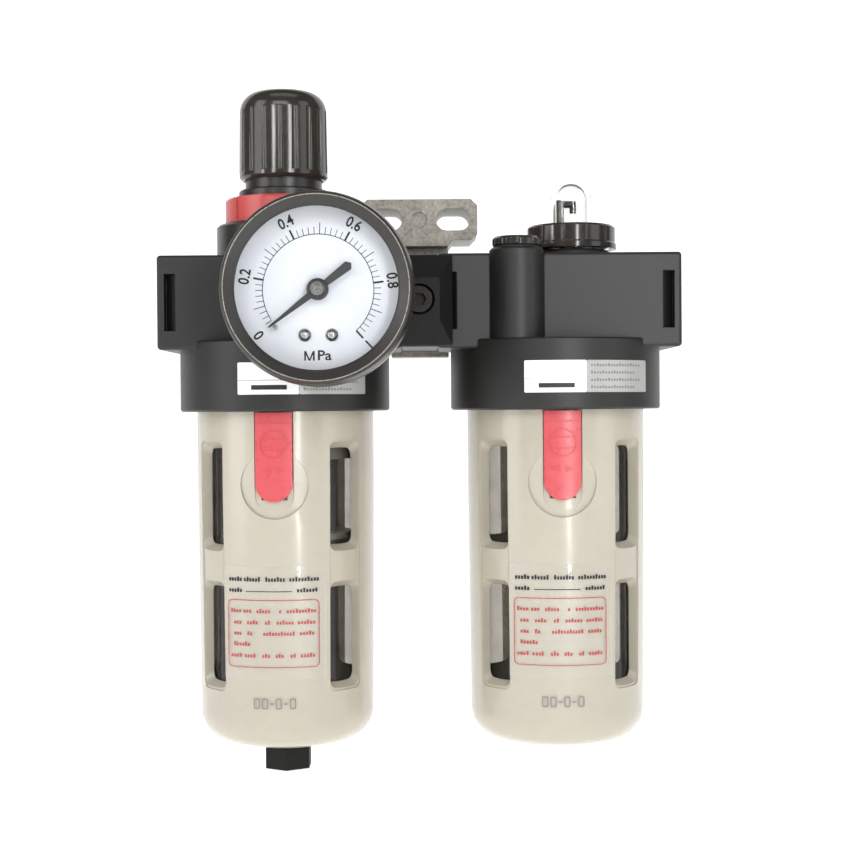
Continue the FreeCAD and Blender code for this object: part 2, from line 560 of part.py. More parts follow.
ring = turned("ring_blank", [("15.4", "0"), ("ring_radius - 0.6", "0"), ("ring_radius", "0.6"),
                             ("ring_radius", "ring_top - bonnet_top - 0.8"),
                             ("ring_radius - 0.8", "ring_top - bonnet_top"),
                             ("15.4", "ring_top - bonnet_top")], ("filter_x", "axis_y", "bonnet_top"))
notch_floor = rod("ring_notch_floor", "ring_radius - notch_deep", "12", ("filter_x", "axis_y", "bonnet_top"))
notches = [cut("ring_notch_%d" % at,
               rod("ring_notch_blank_%d" % at, "ring_radius + 1", "10",
                   ("filter_x", "axis_y", "bonnet_top + ring_lip"), angle=number("notch_angle"),
                   turn=222 + 60 * at), [notch_floor]) for at in range(6)]
node(cut("ring_piece", ring, notches), "bonnet_ring")

flutes = []
for at in range(18):
    angle = math.radians(20 * at + 10)
    flutes.append(rod("knob_flute_%d" % at, "1.25", "knob_shoulder - knob_base - 2.4", (
        "filter_x + (knob_radius + 0.45) * %.6f" % math.cos(angle),
        "axis_y + (knob_radius + 0.45) * %.6f" % math.sin(angle), "knob_base + 2.4")))
up = " - knob_base"
knob = turned("knob_blank", [
    ("neck_radius + 0.4", "0"), ("knob_radius - 0.9", "0"), ("knob_radius", "1"),
    ("knob_radius - 0.3", "knob_shoulder" + up, "left", "6.6"),
    ("knob_radius - 5.6", "knob_top - 0.4" + up, "left", cap_round("knob_radius - 5.6", "0.4")),
    ("0", "knob_top" + up), ("0", "neck_top + 3" + up), ("neck_radius + 0.4", "neck_top + 3" + up)],
    ("filter_x", "axis_y", "knob_base"))
socket = box("knob_socket", ("filter_x - 3.55", "axis_y - 3.55", "neck_top + 2"), ("7.1", "7.1", "9"))
node(cut("knob_piece", knob, flutes + [socket]), "adjusting_knob")

node(fuse("screw_piece", [
    rod("screw_thread", "4", "14", ("filter_x", "axis_y", "8")),
    rod("screw_collar", "8", "2", ("filter_x", "axis_y", "neck_top - 6.1")),
    rod("screw_shaft", "3.9", "6.4", ("filter_x", "axis_y", "neck_top - 6")),
    box("screw_square", ("filter_x - 3.5", "axis_y - 3.5", "neck_top + 0.3"), ("7", "7", "7.7")),
    rod("screw_root", "3.4", "8", ("filter_x", "axis_y", "neck_top - 1"))]), "adjusting_screw")
node(turned("nut_piece", [("4.1", "0"), ("10.4", "0"), ("10.9", "0.5"), ("10.9", "nut_top - nut_base"),
                          ("4.1", "nut_top - nut_base")], ("filter_x", "axis_y", "nut_base")), "spring_nut")
node(coil("main_coil", "spring_mean", "spring_wire", "spring_pitch",
          "nut_base - plate_top - 2 * spring_wire - 0.2", ("filter_x", "axis_y", "plate_top + 0.1")),
     "regulating_spring")

# ---------------------------------------------------------------- diaphragm and main valve

node(turned("diaphragm_piece", [
    ("3.3", "0"), ("15", "0"), ("17.2", "1.2"), ("21.8", "1.2"), ("21.8", "2.6"),
    ("16.6", "2.6"), ("14.4", "1"),
    ("3.3", "1")], ("filter_x", "axis_y", "block_top - 2.7")), "diaphragm")
node(turned("plate_piece", [
    ("0.9", "0"), ("3.1", "0"), ("3.1", "1.9"), ("12.6", "1.9"), ("12.6", "3.2"), ("4", "3.2"), ("4", "5"),
    ("0.9", "5")], ("filter_x", "axis_y", "plate_top - 3.2")), "diaphragm_plate")
node(turned("stem_piece", [
    ("0", "0"), ("stem_radius", "0"), ("stem_radius", "plate_top - 3.7 - seat_z"),
    ("0.5", "plate_top - 3.2 - seat_z"),
    ("0", "plate_top - 3.2 - seat_z")], ("filter_x", "axis_y", "seat_z")), "valve_stem")
node(turned("valve_piece", [("0", "0"), ("2", "0"), ("2", "15.5"), ("6", "15.5"), ("6", "18"), ("0", "18")],
            ("filter_x", "axis_y", "seat_z - 18")), "main_valve")
guide = turned("guide_blank", [
    ("2.1", "0"), ("3.8", "0"), ("3.8", "6"), ("element_radius", "6"),
    ("element_radius", "8.8"), ("7.9", "8.8"), ("7.9", "16"),
    ("2.1", "16"), ("2.1", "9"), ("2.1", "5")], ("filter_x", "axis_y", "core_base - 8.9"))
airways = []
for at in range(6):
    angle = math.radians(60 * at)
    airways.append(rod("airway_%d" % at, "1.3", "30", (
        "filter_x + 5.6 * %.6f" % math.cos(angle), "axis_y + 5.6 * %.6f" % math.sin(angle), "core_base - 12")))
node(cut("guide_piece", guide, airways), "valve_guide")
node(coil("valve_coil", "3.1", "0.4", "2.2", "10.1",
          ("filter_x", "axis_y", "core_base + 7.15")), "valve_spring")

# ---------------------------------------------------------------- filter works and drain

vanes = []
for at in range(12):
    vane = box("vane_%d" % at, ("filter_x", "axis_y", "core_base + 1"), ("21.5", "1.2", "3.4"), turn=30 * at)
    vanes.append(vane)
deflector_disc = turned("deflector_disc", [
    ("12.2", "skirt_tall"), ("20.8", "skirt_tall"), ("20.8", "0"), ("22", "0"), ("22", "skirt_tall + 1.2"),
    ("12.2", "skirt_tall + 1.2")], ("filter_x", "axis_y", "core_base + 0.6 - skirt_tall"))
deflector_hole = rod("deflector_hole", "12.2", "10", ("filter_x", "axis_y", "core_base - 1"))
node(cut("deflector_piece", fuse("deflector_rough", [deflector_disc] + vanes), [deflector_hole]), "deflector")
node(turned("element_piece", [
    ("element_radius - 4", "0"), ("element_radius", "0"), ("element_radius", "element_tall"),
    ("element_radius - 4", "element_tall")], ("filter_x", "axis_y", "core_base - 2.95 - element_tall")),
    "filter_element")
node(turned("baffle_piece", [
    ("0", "0"), ("6", "0"), ("22.3", "3"), ("22.3", "5"), ("2", "5"), ("2", "element_tall + 2"),
    ("0", "element_tall + 2")], ("filter_x", "axis_y", "core_base - 8 - element_tall")), "element_baffle")

drain_x = "filter_x"
node(turned("drain_seat_piece", [
    ("2.1", "0"), ("4.5", "0"), ("4.5", "9.8"), ("7", "9.8"), ("7", "11.8"), ("2.1", "11.8")],
    (drain_x, "axis_y", "bowl_base - 7.7")), "drain_seat")
hexagon = [("drain_across / 2 * %.6f / 0.866025" % math.cos(math.radians(60 * side + 30)),
            "drain_across / 2 * %.6f / 0.866025" % math.sin(math.radians(60 * side + 30))) for side in range(6)]
nozzle = padded("drain_hexagon", hexagon, "drain_top - drain_base", (drain_x, "axis_y", "drain_base"))
sleeve = rod("drain_sleeve", "6.4", "8", (drain_x, "axis_y", "drain_top - 1"))
drain_bores = [rod("drain_bore", "4.7", "9", (drain_x, "axis_y", "drain_top - 1.2")),
               rod("drain_outlet", "2.2", "12", (drain_x, "axis_y", "drain_base - 1"))]
node(cut("drain_knob_piece", fuse("drain_knob_rough", [nozzle, sleeve]), drain_bores), "drain_knob")
node(fuse("drain_stem_piece", [
    rod("drain_pin", "2", "20.2", (drain_x, "axis_y", "bowl_base - 15.5")),
    rod("drain_head", "3.6", "1.6", (drain_x, "axis_y", "bowl_base + 4.6"))]), "drain_stem")
node(turned("drain_seal_piece", [("2.05", "0"), ("3.4", "0"), ("3.4", "0.4"), ("2.05", "0.4")],
            (drain_x, "axis_y", "bowl_base + 4.15")), "drain_seal")

# ---------------------------------------------------------------- gauge, in its own frame:
# its +Z is towards the front of the unit and its +Y is up

GAUGE = ("gauge_x", "gauge_back", "gauge_z")


def gauge_spot(right="0", rise="0", out="0"):
    """A spot given in the gauge's own frame."""
    return ("gauge_x + " + right, "gauge_back - (%s)" % out, "gauge_z + " + rise)


node(turned("case_piece", [
    ("6", "0"), ("case_radius - 2.2", "0"), ("case_radius", "2.2"),
    ("case_radius", "19"), ("case_radius - 1.2", "19"),
    ("case_radius - 1.2", "3"), ("case_radius - 3", "1.4"), ("6", "1.4")], GAUGE, "front"), "gauge_case")
node(turned("bezel_piece", [
    ("case_radius + 0.1", "0"), ("gauge_radius", "0"), ("gauge_radius", "gauge_deep - 12"),
    ("gauge_radius - 0.6", "gauge_deep - 8.4", "left", "1.3"), ("gauge_radius - 1.6", "gauge_deep - 7"),
    ("dial_opening + 0.6", "gauge_deep - 8.4"), ("dial_opening", "gauge_deep - 8.9"),
    ("dial_opening", "gauge_deep - 9.8"), ("case_radius + 0.1", "gauge_deep - 9.8")],
    gauge_spot(out="7"), "front"), "gauge_bezel")
node(turned("lens_piece", [("0", "0"), ("26.6", "0"), ("26.6", "1.6"), ("0", "1.6")],
            gauge_spot(out="20.4"), "front"), "gauge_lens")
SCREW_SPREAD = 4.2
SCREW_DROP = 14
dial = turned("dial_disc", [("2.6", "0"), ("27.2", "0"), ("27.2", "0.6"), ("2.6", "0.6")],
              gauge_spot(out="dial_face - 0.6"), "front")
dial_holes = [rod("dial_hole_%d" % (side > 0), "1.1", "4",
                  gauge_spot("(%g)" % (side * SCREW_SPREAD), "(%g)" % -SCREW_DROP, "12"), "front")
              for side in (-1, 1)]
PIN_REACH = 17.5
PIN_ANGLE = math.radians(221)
pin_spot = gauge_spot("(%.4f)" % (PIN_REACH * math.cos(PIN_ANGLE)),
                      "(%.4f)" % (PIN_REACH * math.sin(PIN_ANGLE)), "13")
pin_hole = rod("pin_hole", "0.65", "3", pin_spot, "front")
node(cut("dial_piece", dial, dial_holes + [pin_hole]), "gauge_dial")
node(rod("stop_pin_piece", "0.6", "5.2", pin_spot, "front"), "gauge_stop_pin")
screws = []
for side in (-1, 1):
    spot = gauge_spot("(%g)" % (side * SCREW_SPREAD), "(%g)" % -SCREW_DROP, "11.2")
    screws.append(turned("dial_screw_%d" % (side > 0), [
        ("0", "0"), ("1", "0"), ("1", "3.05"), ("2", "3.05"),
        ("2", "3.5", "left", cap_round("2", "1.1")), ("0", "4.6")],
        spot, "front"))
node(fuse("dial_screw_pair", screws), "gauge_dial_screws")

# needle from its pointed tail to its tip, lying along +X before it is turned to the zero mark
NEEDLE = [("-13.2", "0"), ("-12", "1.5"), ("-2", "0.95"), ("0", "1.2"), ("18.6", "0.3"), ("19.5", "0"),
          ("18.6", "-0.3"), ("0", "-1.2"), ("-2", "-0.95"), ("-12", "-1.5")]
NEEDLE_ANGLE = 217.4
blade = padded("needle_blade", NEEDLE, "0.5", gauge_spot(out="16.6"), "front")
blade.Placement.Rotation = FreeCAD.Rotation(V(0, -1, 0), NEEDLE_ANGLE).multiply(blade.Placement.Rotation)
hub = turned("needle_hub", [("0.85", "0"), ("3.4", "0"), ("3.4", "1.2"), ("2.6", "1.7"), ("0.85", "1.7")],
             gauge_spot(out="16.2"), "front")
node(cut("needle_piece", fuse("needle_rough", [blade, hub]),
         [rod("needle_bore", "0.85", "4", gauge_spot(out="15.5"), "front")]), "gauge_needle")


def tooth_ring(tag, pitch, tooth, thick, count, first, spot):
    """Wedge teeth round a pitch circle, from a first angle in degrees."""
    teeth = []
    wedge = [V(pitch - 0.55, -0.34, 0), V(pitch + 0.34, -0.13, 0), V(pitch + 0.34, 0.13, 0),
             V(pitch - 0.55, 0.34, 0), V(pitch - 0.55, -0.34, 0)]
    for at in range(count):
        turn = FreeCAD.Rotation(V(0, 0, 1), first + tooth * at)
        piece = doc.addObject("Part::Feature", "%s_tooth_%d" % (tag, at))
        outline = Part.makePolygon([turn.multVec(point) for point in wedge])
        piece.Shape = Part.Face(outline).extrude(V(0, 0, thick))
        teeth.append(place(piece, spot, "front"))
    return teeth


PINION_TEETH = 10
SECTOR_TEETH = 60
SECTOR_DOWN = "(-sector_pitch - pinion_pitch)"
arbor = [rod("arbor_shaft", "arbor_radius", "12.4", gauge_spot(out="5.6"), "front"),
         rod("arbor_core", "pinion_pitch - 0.5", "2", gauge_spot(out="8"), "front"),
         turned("arbor_cap", [("0", "0"), ("2.25", "0"), ("2.25", "0.9"), ("1.9", "1.3"), ("0", "1.3")],
                gauge_spot(out="17.95"), "front")]
node(fuse("arbor_piece", arbor + tooth_ring("pinion", number("pinion_pitch"), 360 / PINION_TEETH, 2,
                                            PINION_TEETH, 90 + 180 / PINION_TEETH, gauge_spot(out="8"))),
     "gauge_arbor")
step = 360 / SECTOR_TEETH
sector_spot = gauge_spot("0", SECTOR_DOWN, "8.4")
sector = [rod("sector_web", "sector_pitch - 0.5", "1.2", sector_spot, "front", angle=62),
          rod("sector_eye", "2.2", "1.2", sector_spot, "front")]
sector[0].Placement.Rotation = FreeCAD.Rotation(V(0, -1, 0), 38).multiply(sector[0].Placement.Rotation)
node(cut("sector_piece", fuse("sector_rough", sector + tooth_ring(
    "sector", number("sector_pitch"), step, 1.2, 10, 90 - 8 * step, sector_spot)),
    [rod("sector_hole", "0.85", "4", gauge_spot("0", SECTOR_DOWN, "7"), "front")]), "gauge_sector")
plates = [box("movement_plate_%d" % at, gauge_spot("(-7)", "(-17.6)", out), ("14", "1", "21"))
          for at, out in enumerate(("6.6", "12.4"))]
posts = [rod("movement_post_%d" % at, "1.2", "5.4", gauge_spot("(%g)" % right, "(%g)" % rise, "6.4"), "front")
         for at, (right, rise) in enumerate(((-5.6, 1.8), (5.6, 1.8), (5.6, -16.2)))]
sector_pin = rod("sector_pin", "0.75", "5.4", gauge_spot("0", SECTOR_DOWN, "6.4"), "front")
movement_holes = [rod("arbor_way", "arbor_radius + 0.06", "10", gauge_spot(out="4"), "front")] + [
    rod("dial_screw_way_%d" % (side > 0), "1.05", "3",
        gauge_spot("(%g)" % (side * SCREW_SPREAD), "(%g)" % -SCREW_DROP, "10.9"), "front") for side in (-1, 1)]
node(cut("movement_piece", fuse("movement_rough", plates + posts + [sector_pin]), movement_holes),
     "gauge_movement")
tube_arc = torus("bourdon_arc", "20.5", "1.9", gauge_spot(out="7.8"), "front")
tube_arc.Angle3 = 265
tube_arc.Placement.Rotation = FreeCAD.Rotation(V(0, -1, 0), -80).multiply(tube_arc.Placement.Rotation)
node(tube_arc, "bourdon_tube")
foot = [box("stem_riser", gauge_spot("(-5)", "(-22)", "5.6"), ("10", "3.6", "19")),
        box("stem_foot", gauge_spot("(-5)", "(-23.4)", "10"), ("10", "8", "5.4"))]
stem_tools = [rod("stem_bore", "1.6", "16", gauge_spot(out="(-15)"), "front")]
node(cut("stem_piece_gauge", fuse("stem_rough", [
    rod("stem_thread", "4.9", "11", gauge_spot(out="(-15.2)"), "front"),
    box("stem_square", gauge_spot("(-5.5)", "(-5.5)", "(-0.1)"), ("11", "6", "11")),
    rod("stem_spigot", "5.4", "4", gauge_spot(out="(-1)"), "front")] + foot), stem_tools), "gauge_stem")

# ---------------------------------------------------------------- sight glass, needle and filler

up = " - sight_base"
ring = turned("drip_ring_blank", [
    ("13.5", "0"), ("sight_radius", "0"), ("sight_radius", "1.8"), ("sight_radius - 0.5", "2.2"),
    ("sight_radius - 0.5", "sight_top - 0.7" + up), ("sight_radius - 1.2", "sight_top" + up),
    ("dome_radius + 0.3", "sight_top" + up), ("dome_radius + 0.3", "3.2"), ("13.5", "3.2")],
    ("sight_x", "axis_y", "sight_base"))
grips = []
for at in range(12):
    angle = math.radians(30 * at + 15)
    grips.append(rod("grip_%d" % at, "0.9", "12", (
        "sight_x + (sight_radius + 0.1) * %.6f" % math.cos(angle),
        "axis_y + (sight_radius + 0.1) * %.6f" % math.sin(angle), "sight_base + 2.2")))
node(cut("drip_ring_piece", ring, grips), "drip_ring")
up = " - sight_base + 6"
node(turned("dome_piece", [
    ("8.6", "0"), ("10.6", "0"), ("10.6", "6.1"), ("13.2", "6.1"), ("13.2", "8.4"), ("dome_radius", "8.8"),
    ("dome_radius", "dome_top - dome_radius" + up, "left", "dome_radius"), ("0", "dome_top" + up),
    ("0", "dome_top - 2.4" + up, "right", "dome_radius - 1.7"),
    ("dome_radius - 1.7", "dome_top - dome_radius - 0.7" + up),
    ("dome_radius - 1.7", "8"), ("8.6", "5")], ("sight_x", "axis_y", "sight_base - 6")), "sight_dome")
node(torus("sight_ring_seal", "12", "0.75", ("sight_x", "axis_y", "land_top + 0.78")), "sight_seal")
node(turned("drip_needle_piece", [
    ("0", "0"), ("0.2", "0"), ("1", "2.5"), ("1", "13"), ("2", "13"), ("2", "14.5"),
    ("0", "14.5")], ("sight_x", "axis_y", "land_top - 9.6")), "drip_needle")
nozzle_path = [rod("drip_riser", "1.3", "25.2", ("sight_x - 3.6", "axis_y", "land_top - 6.4")),
               rod("drip_arm", "1.2", "5.2", ("sight_x - 3.6", "axis_y", "land_top + 17.4"), "x"),
               rod("drip_tip", "1.1", "3.4", ("sight_x + 0.7", "axis_y", "land_top + 14.4"))]
node(fuse("drip_tube_piece", nozzle_path), "drip_tube")

up = " - fill_top + 8.4"
plug = turned("plug_blank", [
    ("0", "0"), ("5.6", "0"), ("6.4", "0.8"), ("6.4", "fill_top" + up), ("plug_radius", "fill_top" + up),
    ("plug_radius", "plug_top - 0.8" + up), ("plug_radius - 0.8", "plug_top" + up), ("0", "plug_top" + up)],
    ("fill_x", "fill_y", "fill_top - 8.4 + 0.82"))
plug_slot = box("plug_slot", ("fill_x - 6", "fill_y - 0.9", "plug_top - 0.6"), ("12", "1.8", "3"))
plug_grips = []
for at in range(10):
    angle = math.radians(36 * at + 18)
    plug_grips.append(rod("plug_grip_%d" % at, "0.8", "6", (
        "fill_x + (plug_radius + 0.4) * %.6f" % math.cos(angle),
        "fill_y + (plug_radius + 0.4) * %.6f" % math.sin(angle), "fill_top + 1")))
node(cut("plug_piece", plug, [plug_slot] + plug_grips), "fill_plug")
node(torus("plug_ring", "7.12", "0.62", ("fill_x", "fill_y", "fill_top + 0.15")), "fill_plug_seal")

flap = padded("damper_flap", [("-2.6", "-9.2"), ("2.6", "-9.2"), ("4.4", "-6.5"), ("4.4", "-1"), ("-4.4", "-1"),
                              ("-4.4", "-6.5")], "0.8", ("damper_x - 0.4", "axis_y", "port_z + 4.2"), "z")
flap.Placement.Rotation = FreeCAD.Rotation(V(0, 1, 0), V(0, 0, 1), V(1, 0, 0), "ZXY")
eye = rod("damper_eye", "1.1", "7", ("damper_x", "axis_y + 3.5", "port_z + 4.2"), "front")
node(cut("damper_piece", fuse("damper_rough", [flap, eye]),
         [rod("damper_eye_hole", "0.55", "12",
               ("damper_x", "axis_y + 6", "port_z + 4.2"), "front")]), "damper_vane")
node(rod("damper_pin_piece", "0.48", "11.4",
         ("damper_x", "axis_y + 5.7", "port_z + 4.2"), "front"), "damper_pin")

node(turned("siphon_piece", [("1.2", "0"), ("2", "0"), ("2", "107"), ("1.2", "107")],
            ("sight_x", "siphon_y", "core_base - 102")), "siphon_tube")
node(turned("strainer_piece", [
    ("0", "0"), ("4", "0"), ("4", "7"), ("2.05", "7"), ("2.05", "5"), ("1.85", "5"), ("1.85", "1.6"),
    ("0.8", "0.8"), ("0", "0.8")], ("sight_x", "siphon_y", "core_base - 107.05")), "siphon_strainer")
ball = add("Part::Sphere", "ball", Radius="1.5")
node(place(ball, ("sight_x", "siphon_y", "core_base - 104.5")), "check_ball")

# ---------------------------------------------------------------- checks and files

doc.recompute()
os.makedirs("parts", exist_ok=True)
for thing in doc.Objects:
    if set(thing.State) & {"Invalid", "Error"}:
        raise SystemExit("%s failed: %s" % (thing.Label, thing.State))
for thing in NODES:
    if thing.Shape.isNull() or not thing.Shape.isValid() or thing.Shape.Volume <= 0:
        raise SystemExit("%s has no valid shape" % thing.Label)
for thing in NODES:
    thing.Shape.exportStep("parts/%s.step" % thing.Label)
    print("%-26s %2d solid(s) %10.1f mm3" % (thing.Label, len(thing.Shape.Solids), thing.Shape.Volume))
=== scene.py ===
"""Looks of the filter regulator and lubricator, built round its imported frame."""
import math

import bmesh
import bpy
from mathutils import Matrix, Vector


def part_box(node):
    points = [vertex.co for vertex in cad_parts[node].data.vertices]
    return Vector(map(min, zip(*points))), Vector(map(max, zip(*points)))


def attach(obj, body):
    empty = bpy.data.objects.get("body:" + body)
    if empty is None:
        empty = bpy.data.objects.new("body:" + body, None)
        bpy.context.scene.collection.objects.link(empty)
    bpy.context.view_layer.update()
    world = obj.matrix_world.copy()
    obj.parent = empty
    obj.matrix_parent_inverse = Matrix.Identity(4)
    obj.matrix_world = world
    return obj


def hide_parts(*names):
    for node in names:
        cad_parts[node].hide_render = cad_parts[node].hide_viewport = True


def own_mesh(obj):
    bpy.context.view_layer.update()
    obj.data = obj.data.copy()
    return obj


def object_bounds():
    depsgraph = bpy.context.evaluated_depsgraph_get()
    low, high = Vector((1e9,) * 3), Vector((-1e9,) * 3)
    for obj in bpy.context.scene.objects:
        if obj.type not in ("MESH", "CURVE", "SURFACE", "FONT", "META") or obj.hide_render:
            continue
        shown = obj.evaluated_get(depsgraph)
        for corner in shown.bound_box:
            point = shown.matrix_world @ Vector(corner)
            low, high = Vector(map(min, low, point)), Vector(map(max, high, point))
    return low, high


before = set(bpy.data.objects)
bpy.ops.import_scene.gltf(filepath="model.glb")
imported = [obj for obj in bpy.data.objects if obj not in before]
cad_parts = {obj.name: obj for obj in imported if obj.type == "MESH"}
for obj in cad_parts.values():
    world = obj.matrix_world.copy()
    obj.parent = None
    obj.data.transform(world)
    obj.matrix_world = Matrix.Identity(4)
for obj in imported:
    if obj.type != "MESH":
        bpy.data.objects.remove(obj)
cad_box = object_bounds()
scene = bpy.context.scene
MM = 0.001


def centre_of(node):
    """Middle of a CAD node's box, in millimetres."""
    low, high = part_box(node)
    return (low + high) / 2 / MM


# ---------------------------------------------------------------- materials

def shade(red, green, blue):
    """A display colour as the linear one that shaders take."""
    return tuple(((value / 255 + 0.055) / 1.055) ** 2.4 if value > 10 else value / 255 / 12.92
                 for value in (red, green, blue)) + (1,)


def new_look(name):
    look = bpy.data.materials.new(name)
    look.use_nodes = True
    tree = look.node_tree
    tree.nodes.clear()
    out = tree.nodes.new("ShaderNodeOutputMaterial")
    return look, tree, out


def noise(tree, size, detail=3, stretch=(1, 1, 1)):
    """Noise whose waves are about size millimetres across, longer where stretch is small."""
    place = tree.nodes.new("ShaderNodeTexCoord")
    mapping = tree.nodes.new("ShaderNodeMapping")
    mapping.inputs["Scale"].default_value = stretch
    texture = tree.nodes.new("ShaderNodeTexNoise")
    texture.inputs["Scale"].default_value = 1 / (size * MM)
    texture.inputs["Detail"].default_value = detail
    tree.links.new(place.outputs["Object"], mapping.inputs["Vector"])
    tree.links.new(mapping.outputs["Vector"], texture.inputs["Vector"])
    return texture.outputs["Fac"]


def spread(tree, source, low, high, start=0.3, stop=0.7):
    """A noise's middle range stretched over low to high."""
    node = tree.nodes.new("ShaderNodeMapRange")
    node.inputs["From Min"].default_value = start
    node.inputs["From Max"].default_value = stop
    node.inputs["To Min"].default_value = low
    node.inputs["To Max"].default_value = high
    tree.links.new(source, node.inputs["Value"])
    return node.outputs["Result"]


def ramp(tree, source, dark, light):
    node = tree.nodes.new("ShaderNodeValToRGB")
    node.color_ramp.elements[0].position = 0.3
    node.color_ramp.elements[0].color = dark
    node.color_ramp.elements[1].position = 0.7
    node.color_ramp.elements[1].color = light
    tree.links.new(source, node.inputs["Fac"])
    return node.outputs["Color"]


def relief(tree, source, height, edge):
    """Bump of a height in millimetres over edges rounded by a radius in millimetres."""
    bump = tree.nodes.new("ShaderNodeBump")
    bump.inputs["Distance"].default_value = height * MM
    bump.inputs["Strength"].default_value = 1
    tree.links.new(source, bump.inputs["Height"])
    if edge:
        bevel = tree.nodes.new("ShaderNodeBevel")
        bevel.samples = 4
        bevel.inputs["Radius"].default_value = edge * MM
        tree.links.new(bevel.outputs["Normal"], bump.inputs["Normal"])
    return bump.outputs["Normal"]


def surface(name, dark, light, rough, mottle=14, grain=0.7, height=0.01, edge=0.3, metallic=0.0,
            specular=0.5, coat=0.0, coat_rough=0.1, soft=0.0, stretch=(1, 1, 1), vary=0.05):
    """An opaque finish: two sizes of noise in its colour, the finer one in its roughness and bump."""
    look, tree, out = new_look(name)
    shader = tree.nodes.new("ShaderNodeBsdfPrincipled")
    shader.inputs["Metallic"].default_value = metallic
    shader.inputs["Specular IOR Level"].default_value = specular
    shader.inputs["Coat Weight"].default_value = coat
    shader.inputs["Coat Roughness"].default_value = coat_rough
    shader.inputs["Subsurface Weight"].default_value = soft
    shader.inputs["Subsurface Scale"].default_value = 1.5 * MM
    fine = noise(tree, grain, 2, stretch)
    blend = tree.nodes.new("ShaderNodeMath")
    blend.operation = "MULTIPLY_ADD"
    blend.inputs[1].default_value = 0.35
    tree.links.new(fine, blend.inputs[0])
    tree.links.new(spread(tree, noise(tree, mottle, 4), 0.2, 0.45, 0, 1), blend.inputs[2])
    tree.links.new(ramp(tree, blend.outputs["Value"], dark, light), shader.inputs["Base Color"])
    tree.links.new(spread(tree, fine, rough - vary, rough + vary), shader.inputs["Roughness"])
    tree.links.new(relief(tree, fine, height, edge), shader.inputs["Normal"])
    tree.links.new(shader.outputs["BSDF"], out.inputs["Surface"])
    return look


def see_through(name, tint, thin, gloss=0.06, smear=9, sheen=0.6, wave=0.01):
    """A thin clear wall: tinted light passes straight on, and the sheen grows towards its edges."""
    look, tree, out = new_look(name)
    clear = tree.nodes.new("ShaderNodeBsdfTransparent")
    shine = tree.nodes.new("ShaderNodeBsdfGlossy")
    mix = tree.nodes.new("ShaderNodeMixShader")
    edge = tree.nodes.new("ShaderNodeLayerWeight")
    edge.inputs["Blend"].default_value = 0.5
    steep = tree.nodes.new("ShaderNodeMath")
    steep.operation = "POWER"
    steep.inputs[1].default_value = 4
    tree.links.new(edge.outputs["Facing"], steep.inputs[0])
    haze = noise(tree, smear, 3)
    tree.links.new(ramp(tree, haze, thin, tint), clear.inputs["Color"])
    tree.links.new(spread(tree, haze, gloss, gloss * 1.8), shine.inputs["Roughness"])
    normal = relief(tree, haze, wave, 0)
    tree.links.new(normal, shine.inputs["Normal"])
    tree.links.new(spread(tree, steep.outputs["Value"], 0.04, 0.04 + sheen, 0, 1), mix.inputs["Fac"])
    tree.links.new(clear.outputs["BSDF"], mix.inputs[1])
    tree.links.new(shine.outputs["BSDF"], mix.inputs[2])
    tree.links.new(mix.outputs["Shader"], out.inputs["Surface"])
    return look


def glass(name, colour, rough):
    """Thick clear plastic that bends what is seen through it."""
    look, tree, out = new_look(name)
    shader = tree.nodes.new("ShaderNodeBsdfPrincipled")
    shader.inputs["Transmission Weight"].default_value = 1
    shader.inputs["IOR"].default_value = 1.49
    ripple = noise(tree, 6, 2)
    tree.links.new(ramp(tree, ripple, tuple(0.94 * part for part in colour[:3]) + (1,), colour),
                   shader.inputs["Base Color"])
    tree.links.new(spread(tree, ripple, rough, rough * 2), shader.inputs["Roughness"])
    tree.links.new(relief(tree, ripple, 0.01, 0), shader.inputs["Normal"])
    tree.links.new(shader.outputs["BSDF"], out.inputs["Surface"])
    return look


